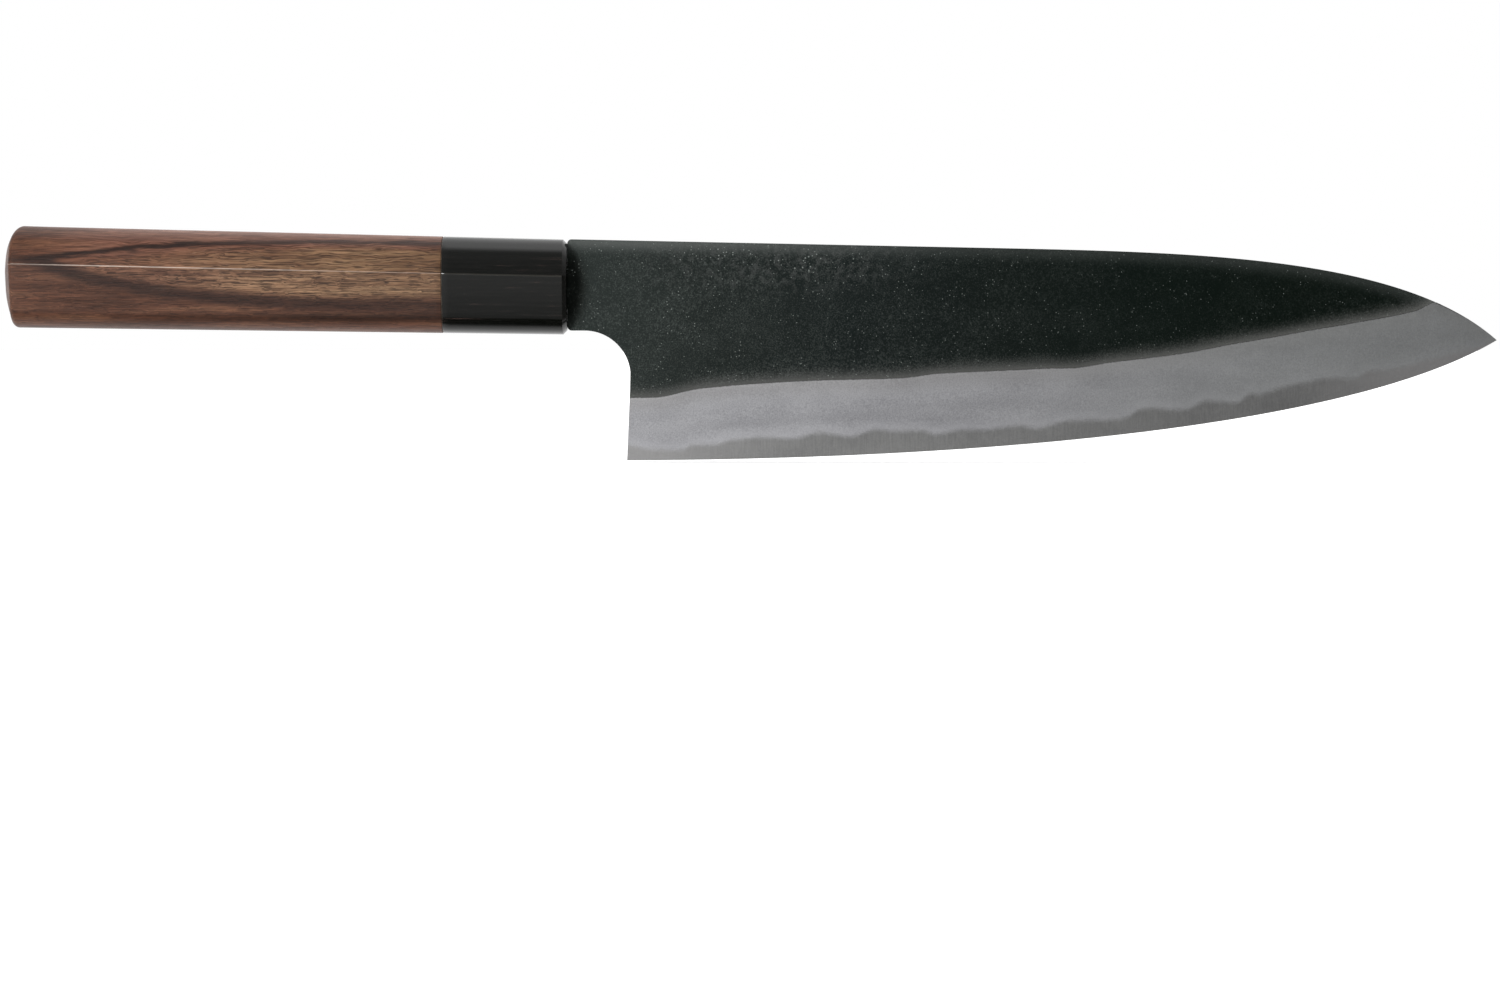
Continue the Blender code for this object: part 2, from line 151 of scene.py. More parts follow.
# How finely the surfaces are divided
BLADE_STEP = 0.6 * MM
TANG_STEP = 5.0 * MM
NECK_CORNER_COLUMNS = 6
CHOIL_COLUMNS = 20
POINT_COLUMNS = 30
HANDLE_STEP = 1.5 * MM
FLAT_ROWS = 26
LOWER_FLAT_ROWS = 8
BEVEL_ROWS = 18
CORE_ROWS = 10
INNER_ROWS = 3
ROUND_ROWS = 5
FACET_ROWS = 14
CROWN_ROWS = 18
BACK_ROWS = 26
RIDGE_ROWS = 6
BUTT_SHARES = (0.02, 0.15, 0.3, 0.45, 0.6, 0.72, 0.82, 0.9, 0.96)
BUTT_ROUNDING_ROWS = 10
CORNER_CUT_RINGS = 5
CURVE_SAMPLES = 600
ROUND_PULL = 0.58
RIDGE_PULL = 0.6

# The studio
CAMERA_PLACE = Vector((-0.4 * MM, -1.05, 28.33 * MM))
CAMERA_TILT = 2.07
CAMERA_LENS = 104.3
LIT_PLACE = Vector((0.0, 0.0, 0.03))
FLOOR_HALF = 14.0
FLOOR_DROP = 0.2 * MM

# How bright the surroundings are, by degrees above the horizon in front of the knife and behind it,
# and by degrees to the left of the middle of the front
WORLD_FRONT = (
    (-90, 0.05), (-37, 0.03), (-34, 0.30), (-28, 0.6), (-21, 0.85), (-13, 0.55), (-4, 0.32), (6, 0.22),
    (20, 0.22), (40, 0.3), (60, 0.52), (80, 1.4), (90, 1.8),
)
WORLD_BACK = (
    (-90, 0.05), (-75, 0.7), (-40, 1.1), (-6, 1.2), (5, 1.4), (15, 1.1), (30, 0.8), (60, 1.0), (90, 1.6),
)
WORLD_BY_SIDE = (
    (-180, 0.6), (-120, 0.3), (-90, 0.12), (-35, 0.22), (-10, 0.38), (6, 0.9), (60, 1.2), (120, 1.2),
    (180, 0.6),
)


# Curves


def evenly(start, end, steps):
    """Values from start to end, in equal steps."""
    return [start + (end - start) * i / steps for i in range(steps + 1)]


def bezier(start, start_guide, end_guide, end, steps):
    """Points along one cubic curve, as a list of vectors."""
    points = []
    for t in evenly(0, 1, steps):
        s = 1 - t
        near_start = s**3 * start + 3 * s**2 * t * start_guide
        near_end = 3 * s * t**2 * end_guide + t**3 * end
        points.append(near_start + near_end)
    return points


def heights_along(points):
    """A function that gives the height of a line of points at any x."""
    xs = [point.x for point in points]
    zs = [point.y for point in points]
    return lambda x: float(np.interp(x, xs, zs))


def hand_line(points):
    """A smooth line through listed points, (mm from the heel, mm), that doesn't overshoot them."""
    places = [HEEL_X + place * MM for place, _ in points]
    values = [value * MM for _, value in points]
    slopes = [0.0]
    for i in range(1, len(places) - 1):
        before = (values[i] - values[i - 1]) / (places[i] - places[i - 1])
        after = (values[i + 1] - values[i]) / (places[i + 1] - places[i])
        slopes.append(2 * before * after / (before + after) if before * after > 0 else 0.0)
    slopes.append(0.0)

    def value_at(x):
        i = min(max(int(np.searchsorted(places, x)), 1), len(places) - 1)
        length = places[i] - places[i - 1]
        t = min(max((x - places[i - 1]) / length, 0.0), 1.0)
        rising = t * t * (3 - 2 * t)
        start_pull = t * (1 - t) ** 2 * length * slopes[i - 1]
        end_pull = t * t * (t - 1) * length * slopes[i]
        return values[i - 1] + (values[i] - values[i - 1]) * rising + start_pull + end_pull

    return value_at


def spine_curve():
    """Straight from the shoulder, then one long curve down to the tip."""
    start = Vector((SHOULDER_X, NECK_TOP_Z))
    direction = (SPINE_STRAIGHT_END - start).normalized()
    tip = Vector((TIP_X, TIP_Z))
    back_from_tip = Vector((-math.cos(SPINE_TIP_ANGLE), math.sin(SPINE_TIP_ANGLE)))
    curve = bezier(
        SPINE_STRAIGHT_END,
        SPINE_STRAIGHT_END + SPINE_START_PULL * direction,
        tip + SPINE_TIP_PULL * back_from_tip,
        tip,
        CURVE_SAMPLES,
    )
    return heights_along([start] + curve)


def edge_curve():
    """Almost flat at the heel, with its belly rising to the tip."""
    heel = Vector((HEEL_X, 0))
    tip = Vector((TIP_X, TIP_Z))
    back_from_tip = -Vector((math.cos(EDGE_TIP_ANGLE), math.sin(EDGE_TIP_ANGLE)))
    heel_guide = heel + Vector((EDGE_HEEL_PULL, 0))
    tip_guide = tip + EDGE_TIP_PULL * back_from_tip
    return heights_along(bezier(heel, heel_guide, tip_guide, tip, CURVE_SAMPLES))


spine_height = spine_curve()
edge_height = edge_curve()


def bevel_curve():
    """The even curve that the top of the ground bevel follows."""
    start = Vector((CHOIL_END_X, BEVEL_HEEL_Z))
    end = Vector((BEVEL_END_X, spine_height(BEVEL_END_X)))
    return heights_along(bezier(start, BEVEL_HEEL_GUIDE, BEVEL_TIP_GUIDE, end, CURVE_SAMPLES))


even_bevel_height = bevel_curve()
bevel_wander = hand_line(BEVEL_WANDER)
weld_above_edge = hand_line(WELD_HEIGHTS)


# Thickness of the blade


def flat_half(x, z):
    """Half thickness on the flat, a true plane that thins towards the tip and the edge."""
    towards_tip = x - SHOULDER_X
    towards_edge = NECK_TOP_Z - z
    return SHOULDER_HALF - TAPER_PER_LENGTH * towards_tip - TAPER_PER_HEIGHT * towards_edge


def bevel_top(x):
    """Height and half thickness where the bevel starts. Past the flat's end it starts at the spine."""
    if x < BEVEL_END_X:
        height = even_bevel_height(x) + bevel_wander(x)
        return height, flat_half(x, height)
    start = flat_half(BEVEL_END_X, spine_height(BEVEL_END_X))
    left = (TIP_X - x) / (TIP_X - BEVEL_END_X)
    return spine_height(x), BEVEL_TIP_HALF + (start - BEVEL_TIP_HALF) * left


def blade_half(x, z):
    """Half thickness of the finished blade at a height: flat, then bevel, then the fine edge."""
    top, top_half = bevel_top(x)
    if z >= top:
        return min(flat_half(x, z), top_half + TAPER_PER_HEIGHT * (z - top))
    low = edge_height(x)
    share = (z - low) / (top - low)
    on_bevel = BEVEL_TIP_HALF + (top_half - BEVEL_TIP_HALF) * share
    strop = min(max((z - low) / EDGE_STROP, 0.0), 1.0)
    return EDGE_HALF + (on_bevel - EDGE_HALF) * strop


def weld_height(x):
    """Height of the wavy line where the hard core comes out from under the cladding."""
    low = edge_height(x)
    most = WELD_MOST_SHARE * (spine_height(x) - low)
    return low + min(weld_above_edge(x), most)


def neck_drop(x):
    """How far the rounded corners of the neck cut in just in front of the shoulder."""
    run = NECK_CORNER_RADIUS - (x - SHOULDER_X)
    if run <= 0:
        return 0.0
    return NECK_CORNER_RADIUS - math.sqrt(max(NECK_CORNER_RADIUS**2 - run**2, 0))


def unevenness(x, z, side):
    """The slight waviness that the hammer leaves on the forged flat, fading out at its borders."""
    place = Vector((x / HAMMER_MARK.x, side * FACES_APART, z / HAMMER_MARK.y))
    fade = min((spine_height(x) - z) / FADE_AT_SPINE, (z - bevel_top(x)[0]) / FADE_AT_BEVEL, 1.0)
    return FORGING_UNEVENNESS * noise.noise(place) * max(fade, 0.0)


# Mesh helpers

BLADE_VALUES = ("above_bevel", "above_weld", "below_spine")
HANDLE_VALUES = ("from_ridge",)
FAR = 10 * MM


class Loft:
    """A closed mesh through rings of equal point counts, with a few values stored at each point."""

    def __init__(self, name, stored_names):
        self.name = name
        self.stored_names = stored_names
        self.rings = []
        self.values = []

    def add(self, ring, values):
        self.rings.append(ring)
        self.values.append(values)

    def build(self, sharp=35, closed=False):
        """Makes the object. A closed loft joins its last ring to its first, the others get end faces."""
        builder = bmesh.new()
        layers = [builder.verts.layers.float.new(name) for name in self.stored_names]
        rows = []
        for ring, values in zip(self.rings, self.values):
            row = []
            for point, stored in zip(ring, values):
                vertex = builder.verts.new(point)
                for layer, value in zip(layers, stored):
                    vertex[layer] = value
                row.append(vertex)
            rows.append(row)
        count = len(rows[0])
        pairs = list(zip(rows, rows[1:]))
        if closed:
            pairs.append((rows[-1], rows[0]))
        for row, following in pairs:
            for i in range(count):
                j = (i + 1) % count
                builder.faces.new((row[i], row[j], following[j], following[i]))
        if not closed:
            builder.faces.new(rows[0])
            builder.faces.new(rows[-1])
        bmesh.ops.remove_doubles(builder, verts=builder.verts, dist=1e-6)
        bmesh.ops.dissolve_degenerate(builder, edges=builder.edges, dist=1e-6)
        bmesh.ops.recalc_face_normals(builder, faces=builder.faces)
        mesh = bpy.data.meshes.new(self.name)
        builder.to_mesh(mesh)
        builder.free()
        mesh.shade_smooth()
        mesh.set_sharp_from_angle(angle=math.radians(sharp))
        piece = bpy.data.objects.new(self.name, mesh)
        bpy.context.scene.collection.objects.link(piece)
        return piece


# The blade's layers


def blade_columns():
    """Places of the cross-sections in front of the shoulder, as (x, True behind the heel)."""
    turns = evenly(0, math.pi / 2, NECK_CORNER_COLUMNS)
    corner = [SHOULDER_X + NECK_CORNER_RADIUS * (1 - math.cos(turn)) for turn in turns]
    arc_start = CHOIL_END_X - CHOIL_RADIUS
    straight = evenly(corner[-1], arc_start, math.ceil((arc_start - corner[-1]) / BLADE_STEP))
    arc = [arc_start + CHOIL_RADIUS * math.sin(turn) for turn in evenly(0, math.pi / 2, CHOIL_COLUMNS)]
    neck = corner[:-1] + straight[:-1] + arc
    body = evenly(CHOIL_END_X, BEVEL_END_X, math.ceil((BEVEL_END_X - CHOIL_END_X) / BLADE_STEP))
    turns = evenly(0, math.pi / 2, POINT_COLUMNS)
    point = [BEVEL_END_X + (TIP_X - BEVEL_END_X) * math.sin(turn) for turn in turns]
    return [(x, True) for x in neck] + [(x, False) for x in body + point[1:]]


def choil_height(x):
    """Lower outline of the neck and the round corner behind the heel."""
    run = max(x - (CHOIL_END_X - CHOIL_RADIUS), 0)
    return CHOIL_END_Z + math.sqrt(max(CHOIL_RADIUS**2 - run**2, 0)) + neck_drop(x)


def middle_height(x):
    """A line across the flat that meets the end of the choil, between two bands of rows."""
    heel_bevel = bevel_top(CHOIL_END_X)[0]
    share = (CHOIL_END_Z - heel_bevel) / (spine_height(CHOIL_END_X) - heel_bevel)
    bevel = bevel_top(x)[0]
    return bevel + (spine_height(x) - bevel) * share


def leaned(x, z):
    """The heel leans a little: points near it move back towards the butt below the choil."""
    near = max(1 - (x - CHOIL_END_X) / HEEL_LEAN_REACH, 0.0) if x >= CHOIL_END_X else 0.0
    below = max(1 - z / CHOIL_END_Z, 0.0)
    return x - HEEL_LEAN * near * near * below


def core_top_half(x):
    """Half thickness of the core at the spine. It thins out with the blade near the tip."""
    if x < BEVEL_END_X:
        return CORE_HALF
    return min(CORE_HALF, CORE_TIP_SHARE * bevel_top(x)[1])


def values_at(x, z):
    """The stored values: the height above the bevel's top, above the weld line and below the spine."""
    return (z - bevel_top(x)[0], z - weld_height(x), spine_height(x) - z)


def rounded(half, radius, z, direction):
    """Points (y, z) from the face at y = half over a rounded corner, with direction +1 at the top."""
    points = []
    for turn in evenly(0, math.pi / 2, ROUND_ROWS):
        y = half - radius + radius * math.cos(turn)
        points.append((y, z + direction * (radius * math.sin(turn) - radius)))
    return points


def blade_face(x, start):
    """Points (y, z) down a cladding's face from a height: the flat, then the bevel to the weld line."""
    middle = middle_height(x)
    bevel = bevel_top(x)[0]
    heights = evenly(start, middle, FLAT_ROWS)[1:]
    heights += evenly(middle, bevel, LOWER_FLAT_ROWS)[1:]
    heights += evenly(bevel, weld_height(x), BEVEL_ROWS)[1:]
    return [(blade_half(x, z), z) for z in heights]


def neck_face(x, start, inner):
    """As many points down the neck's face, round its lower corner and under it to the inner face."""
    low = choil_height(x)
    half = flat_half(x, low)
    radius = SPINE_ROUNDING * min(1.0, (CHOIL_END_X - x) / NECK_ROUNDING_FADE)
    face = [(flat_half(x, z), z) for z in evenly(start, low + radius, FLAT_ROWS)[1:]]
    corner = rounded(half, radius, low, -1)[1:]
    left = LOWER_FLAT_ROWS + BEVEL_ROWS - ROUND_ROWS
    return face + corner + [(y, low) for y in evenly(half - radius, inner, left)[1:]]


def outer_cladding(x, behind_heel):
    """Right half outline of one cladding as (y, z), from the spine's inner corner down."""
    inner = core_top_half(x) + LAYER_GAP
    top = spine_height(x) - neck_drop(x)
    top_half = blade_half(x, top)
    radius = min(SPINE_ROUNDING, (top_half - inner) * ROUNDING_MOST_SHARE)
    corner = rounded(top_half, radius, top, 1)[::-1]
    start = corner[-1][1]
    return corner + (neck_face(x, start, inner) if behind_heel else blade_face(x, start))


def cladding_ring(x, behind_heel, side):
    """One ring of a cladding, with the inner face closed back up to the spine."""
    outline = outer_cladding(x, behind_heel)
    inner_top = core_top_half(x) + LAYER_GAP
    inner_low = outline[-1][0] - (0 if behind_heel else CLADDING_END)
    low = outline[-1][1]
    top = spine_height(x) - neck_drop(x)
    points = [(y + unevenness(x, z, side), z) for y, z in outline]
    for t in evenly(0, 1, INNER_ROWS + 1)[1:-1]:
        y = inner_low + (inner_top - inner_low) * t
        points.append((min(y, inner_low), low + (top - low) * t))
    ring = [(leaned(x, z), side * y, z) for y, z in points]
    return ring, [values_at(x, z) for y, z in points]


def tang_size(distance):
    """Height and half width of the tang at a distance behind the shoulder."""
    share = distance / TANG_LENGTH
    size = TANG_ROOT.lerp(TANG_END, share)
    return size.y, size.x / 2


def axis_z(x):
    """Height of the handle's axis."""
    return AXIS_SHOULDER_Z + (SHOULDER_X - x) * math.tan(AXIS_TILT)


def tang_ring(distance, inner, outer, like):
    """A rectangle of the tang with as many points as the ring that it leads to."""
    x = SHOULDER_X - distance
    height = tang_size(distance)[0]
    middle = axis_z(x)
    ring = []
    down = FLAT_ROWS + ROUND_ROWS
    for t in evenly(0, 1, down):
        ring.append((x, outer, middle + height * (0.5 - t)))
    left = like - len(ring) - INNER_ROWS
    for t in evenly(0, 1, left)[1:]:
        ring.append((x, outer + (inner - outer) * t, middle - height / 2))
    for t in evenly(0, 1, INNER_ROWS)[1:]:
        ring.append((x, inner, middle + height * (t - 0.5)))
    return ring


def make_cladding(name, side):
    """One soft layer of the blade, forged black on its flat, ground bright on its bevel."""
    loft = Loft(name, BLADE_VALUES)
    first, _ = cladding_ring(SHOULDER_X, True, side)
    inner = side * (CORE_HALF + LAYER_GAP)
    for distance in evenly(TANG_LENGTH, 0, math.ceil(TANG_LENGTH / TANG_STEP)):
        ring = tang_ring(distance, inner, side * tang_size(distance)[1], len(first))
        loft.add(ring, [(FAR, FAR, FAR)] * len(ring))
    for x, behind_heel in blade_columns()[:-2]:
        ring, values = cladding_ring(x, behind_heel, side)
        loft.add(ring, values)
    return loft.build()


def core_outline(x, behind_heel):
    """Right half outline of the core as (y, z), from the spine to the edge or to the neck's underside."""
    top_half = core_top_half(x)
    top = spine_height(x) - neck_drop(x)
    if behind_heel:
        low = choil_height(x)
        hidden = [(top_half, z) for z in evenly(top, low, INNER_ROWS)]
        return hidden + [(top_half * (1 - t), low) for t in evenly(0, 1, CORE_ROWS + 2)[1:]]
    weld = weld_height(x)
    low = edge_height(x)
    weld_half = blade_half(x, weld)
    hidden = []
    for t in evenly(0, 1, INNER_ROWS):
        hidden.append((top_half + (weld_half - top_half) * t, top + (weld - top) * t))
    strop = min(low + EDGE_STROP, weld)
    shown = [(blade_half(x, z), z) for z in evenly(weld, strop, CORE_ROWS)[1:]]
    return hidden + shown + [(EDGE_HALF, low), (0.0, low)]


def core_ring(x, behind_heel):
    """The full ring of the core: down its right side and up its left side."""
    outline = core_outline(x, behind_heel)
    mirrored = [(-y, z) for y, z in outline[::-1][1:]]
    ring = [(leaned(x, z), -y, z) for y, z in outline + mirrored]
    values = [values_at(x, z) for y, z in outline + mirrored]
    return ring, values


def make_core():
    """The hard middle layer. It shows as the darker steel along the edge."""
    loft = Loft("hard_core", BLADE_VALUES)
    first, _ = core_ring(SHOULDER_X, True)
    for distance in evenly(TANG_LENGTH, 0, math.ceil(TANG_LENGTH / TANG_STEP)):
        x = SHOULDER_X - distance
        height = tang_size(distance)[0]
        top = axis_z(x) + height / 2
        half = (len(first) + 1) // 2
        down = [(x, -CORE_HALF, top - height * t) for t in evenly(0, 1, INNER_ROWS)]
        across = [(x, -CORE_HALF * (1 - t), top - height) for t in evenly(0, 1, half - len(down))[1:]]
        side = down + across
        ring = side + [(x, -y, z) for x, y, z in side[::-1][1:]]
        loft.add(ring, [(FAR, FAR, FAR)] * len(ring))
    for x, behind_heel in blade_columns()[:-1]:
        ring, values = core_ring(x, behind_heel)
        loft.add(ring, values)
    return loft.build()


# The handle


def along_handle(x, sizes):
    """A size that changes evenly from the shoulder to the butt."""
    share = (SHOULDER_X - x) / HANDLE_LENGTH
    return sizes[0] + (sizes[1] - sizes[0]) * share


def facet_and_crown(ridge, top, lean, crown_share):
    """From the softened ridge along a slightly bowed facet, then round the crown to the point top."""
    height = abs(top.y - ridge.y)
    direction = Vector((lean, 1 if top.y > ridge.y else -1))
    corner = ridge + direction * height
    facet_end = ridge + direction * (height - crown_share * 2 * abs(top.y))
    bow = Vector((-FACET_BOW, 0))
    facet_guides = ridge.lerp(facet_end, 1 / 3) + bow, ridge.lerp(facet_end, 2 / 3) + bow
    facet = bezier(ridge, *facet_guides, facet_end, FACET_ROWS)
    crown_guides = facet_end.lerp(corner, ROUND_PULL), top.lerp(corner, ROUND_PULL)
    return facet[:-1] + bezier(facet_end, *crown_guides, top, CROWN_ROWS)


def handle_outline(x):
    """One outline of the handle about its axis: an oval whose right side comes to a ridge."""
    half_height = along_handle(x, HANDLE_HEIGHT) / 2
    half_width = along_handle(x, HANDLE_WIDTH) / 2
    ridge = Vector((-half_width, along_handle(x, RIDGE_RISE)))
    top = Vector((0, half_height))
    bottom = Vector((0, -half_height))
    left = Vector((half_width, 0))
    pull_y = Vector((ROUND_PULL * half_width, 0))
    pull_z = Vector((0, ROUND_PULL * half_height))
    upper = facet_and_crown(ridge, top, UPPER_FACET_LEAN, UPPER_CROWN_SHARE)
    lower = facet_and_crown(ridge, bottom, LOWER_FACET_LEAN, LOWER_CROWN_SHARE)
    back = bezier(top, top + pull_y, left + pull_z, left, BACK_ROWS)[1:]
    back += bezier(left, left - pull_z, bottom + pull_y, bottom, BACK_ROWS)[1:]
    up_start = ridge + (upper[1] - ridge).normalized() * RIDGE_SOFTENING
    down_start = ridge + (lower[1] - ridge).normalized() * RIDGE_SOFTENING
    guides = down_start.lerp(ridge, RIDGE_PULL), up_start.lerp(ridge, RIDGE_PULL)
    soft = bezier(down_start, *guides, up_start, RIDGE_ROWS)
    return soft + upper[1:] + back + lower[-2:0:-1]


def handle_ring(x, inset=0.0, corner_cut=0.0):
    """The handle's outline at x, drawn in by inset, with its top moved forward where its corner is cut."""
    half_height = along_handle(x, HANDLE_HEIGHT) / 2
    scale = 1 - inset / half_height
    ring = []
    for point in handle_outline(x):
        near_top = max(scale * point.y / half_height - CORNER_CUT_FROM, 0.0) / (1 - CORNER_CUT_FROM)
        forward = corner_cut * near_top**2
        ring.append((x + forward, scale * point.x, axis_z(x) + scale * point.y))
    return ring


def ridge_distances(x):
    """How far each point of the outline lies from the corner of its ridge."""
    ridge = Vector((-along_handle(x, HANDLE_WIDTH) / 2, along_handle(x, RIDGE_RISE)))
    return [((point - ridge).length,) for point in handle_outline(x)]


def round_ring(x, radius):
    """A round ring inside the handle, in line with the points of its outline."""
    places = [radius * point.normalized() for point in handle_outline(x)]
    return [(x, place.x, axis_z(x) + place.y) for place in places]


def mouth_ring(x):
    """The narrow opening for the tang, in line with the points of the outline."""
    ring = []
    for point in handle_outline(x):
        reach = max(abs(point.x) / (MOUTH.x / 2), abs(point.y) / (MOUTH.y / 2))
        ring.append((x, point.x / reach, axis_z(x) + point.y / reach))
    return ring


def make_handle():
    """The wooden handle with its domed butt, rounded rim and the blind hole for the dowel."""
    loft = Loft("rosewood_handle", HANDLE_VALUES)
    hidden = [(FAR,)] * len(handle_outline(BUTT_X))
    half_height = HANDLE_HEIGHT[1] / 2
    for share in BUTT_SHARES:
        x = BUTT_X + BUTT_DOME * share**2
        inset = half_height - share * (half_height - BUTT_ROUNDING)
        loft.add(handle_ring(x, inset, BUTT_CORNER_CUT), hidden)
    for turn in evenly(0, math.pi / 2, BUTT_ROUNDING_ROWS):
        x = BUTT_X + BUTT_DOME + BUTT_ROUNDING * (1 - math.cos(turn))
        ring = handle_ring(x, BUTT_ROUNDING * (1 - math.sin(turn)), BUTT_CORNER_CUT)
        loft.add(ring, ridge_distances(x))
    start = BUTT_X + BUTT_DOME + BUTT_ROUNDING
    end = BODY_FRONT_X - BODY_EDGE_ROUNDING
    steps = math.ceil((BODY_FRONT_X - start) / HANDLE_STEP)
    for i, x in enumerate(evenly(start, end, steps)[1:], start=1):
        corner_cut = BUTT_CORNER_CUT * max(1 - i / CORNER_CUT_RINGS, 0)
        loft.add(handle_ring(x, corner_cut=corner_cut), ridge_distances(x))
    third = BODY_EDGE_ROUNDING / 3
    for x, inset in ((BODY_FRONT_X - third, third), (BODY_FRONT_X, BODY_EDGE_ROUNDING)):
        loft.add(handle_ring(x, inset), ridge_distances(x))
    bore_end = SHOULDER_X - BORE_DEPTH
    loft.add(round_ring(BODY_FRONT_X, BORE_RADIUS), hidden)
    loft.add(round_ring(bore_end, BORE_RADIUS), hidden)
    loft.add(round_ring(bore_end - DRILL_POINT_DEPTH, DRILL_POINT_RADIUS), hidden)
    return loft.build(sharp=28)


def make_ferrule():
    """The black ferrule: a chamfered front, a narrow mouth for the tang and a bore for the dowel."""
    loft = Loft("black_ferrule", HANDLE_VALUES)
    hidden = [(FAR,)] * len(handle_outline(BUTT_X))
    edge = FERRULE_EDGE_ROUNDING
    loft.add(handle_ring(FERRULE_BACK_X, edge), ridge_distances(FERRULE_BACK_X))
    loft.add(handle_ring(FERRULE_BACK_X + edge / 3, edge / 3), ridge_distances(FERRULE_BACK_X))
    chamfer_start = FERRULE_FRONT_X - FERRULE_CHAMFER
    start = FERRULE_BACK_X + edge
    for x in evenly(start, chamfer_start, math.ceil((chamfer_start - start) / HANDLE_STEP)):
        loft.add(handle_ring(x), ridge_distances(x))
    loft.add(handle_ring(FERRULE_FRONT_X, FERRULE_CHAMFER), hidden)
    wall_back = SHOULDER_X - FERRULE_FRONT_WALL
    loft.add(mouth_ring(FERRULE_FRONT_X), hidden)
    loft.add(mouth_ring(wall_back), hidden)
    loft.add(round_ring(wall_back, BORE_RADIUS), hidden)
    loft.add(round_ring(FERRULE_BACK_X, BORE_RADIUS), hidden)
    return loft.build(sharp=28, closed=True)


# Materials


def shade(red, green, blue):
    """A colour given as it looks on a screen, from 0 to 255, as the shader needs it."""
    linear = []
    for value in (red, green, blue):
        value /= 255
        linear.append(value / 12.92 if value <= 0.04045 else ((value + 0.055) / 1.055) ** 2.4)
    return (*linear, 1.0)


class Nodes:
    """A node tree, with short calls for the nodes that are added to it."""

    def __init__(self, tree):
        self.tree = tree

    def link(self, source, socket):
        """Sets a socket to a value, or links it to another socket."""
        if isinstance(source, bpy.types.NodeSocket):
            self.tree.links.new(source, socket)
        else:
            socket.default_value = source

    def add(self, kind, inputs=None, **settings):
        """A new node, with what its inputs are set or linked to, by name or number."""
        node = self.tree.nodes.new("ShaderNode" + kind)
        for name, value in settings.items():
            setattr(node, name, value)
        for name, source in (inputs or {}).items():
            self.link(source, node.inputs[name])
        return node

    def vector(self, operation, *sources, scale=None):
        inputs = dict(enumerate(sources))
        if scale is not None:
            inputs["Scale"] = scale
        node = self.add("VectorMath", inputs, operation=operation)
        return node.outputs["Value" if operation == "LENGTH" else "Vector"]

    def math(self, operation, *sources, clamp=False):
        return self.add("Math", dict(enumerate(sources)), operation=operation, use_clamp=clamp).outputs[0]

    def plus(self, first, second):
        return self.math("ADD", first, second)

    def minus(self, first, second):
        return self.math("SUBTRACT", first, second)

    def times(self, first, second):
        return self.math("MULTIPLY", first, second)

    def parts(self, place):
        """The x, y and z of a place as three sockets."""
        return self.add("SeparateXYZ", {0: place}).outputs

    def join(self, x, y, z):
        return self.add("CombineXYZ", {0: x, 1: y, 2: z}).outputs[0]

    def noise(self, place, scale=1.0, detail=2.0, roughness=0.5, distortion=0.0):
        inputs = {"Vector": place, "Scale": scale, "Detail": detail}
        inputs |= {"Roughness": roughness, "Distortion": distortion}
        return self.add("TexNoise", inputs).outputs[0]

    def cells(self, place, scale):
        """Distance to the nearest of some scattered points."""
        return self.add("TexVoronoi", {"Vector": place, "Scale": scale}).outputs["Distance"]

    def between(self, value, low, high, start=0.0, end=1.0, change="SMOOTHSTEP"):
        """start below low, end above high, and a smooth or LINEAR change between them."""
        inputs = {"Value": value, "From Min": low, "From Max": high, "To Min": start, "To Max": end}
        return self.add("MapRange", inputs, interpolation_type=change).outputs["Result"]

    def ramp(self, value, stops):
        """A colour for each value, from stops of (value, colour)."""
        node = self.add("ValToRGB", {0: value})
        elements = node.color_ramp.elements
        while len(elements) > 1:
            elements.remove(elements[-1])
        elements[0].position, elements[0].color = stops[0]
        for position, colour in stops[1:]:
            elements.new(position).color = colour
        return node.outputs[0]

    def mix(self, amount, first, second, blend="MIX"):
        inputs = {0: amount, 6: first, 7: second}
        return self.add("Mix", inputs, data_type="RGBA", blend_type=blend).outputs[2]


class Material(Nodes):
    """A Principled material. Its places and its stored values are in mm."""

    def __init__(self, name, roughness, metallic=0.0, specular=0.5):
        self.material = bpy.data.materials.new(name)
        self.material.use_nodes = True
        super().__init__(self.material.node_tree)
        self.shader = self.tree.nodes["Principled BSDF"]
        self.shader.inputs["Roughness"].default_value = roughness
        self.shader.inputs["Metallic"].default_value = metallic
        self.shader.inputs["Specular IOR Level"].default_value = specular
        self.place = self.vector("SCALE", self.add("TexCoord").outputs["Object"], scale=1 / MM)

    def stretched(self, x, y, z, place=None):
        """Places multiplied along each axis."""
        return self.vector("MULTIPLY", place or self.place, (x, y, z))

    def along(self, start_x):
        """Distance along the knife towards the tip, from a place on it."""
        return self.minus(self.parts(self.place)[0], start_x / MM)

    def patch(self, x, z, reach, rise):
        """Distance from a place on the side, 1 on an ellipse that reaches and rises so far from it."""
        away = self.vector("SUBTRACT", self.place, (x / MM, 0, z / MM))
        return self.vector("LENGTH", self.stretched(1 / reach, 0, 1 / rise, away))

    def stored(self, name):
        """A value kept at the mesh's points."""
        return self.times(self.add("Attribute", attribute_name=name).outputs["Fac"], 1 / MM)

    def finish(self, colour, roughness, height):
        """Gives the surface its colour and roughness, and raises it by a height."""
        raised = self.add("Bump", {"Strength": 1.0, "Distance": MM, "Height": height}).outputs[0]
        for name, source in (("Base Color", colour), ("Roughness", roughness), ("Normal", raised)):
            self.link(source, self.shader.inputs[name])
        return self.material


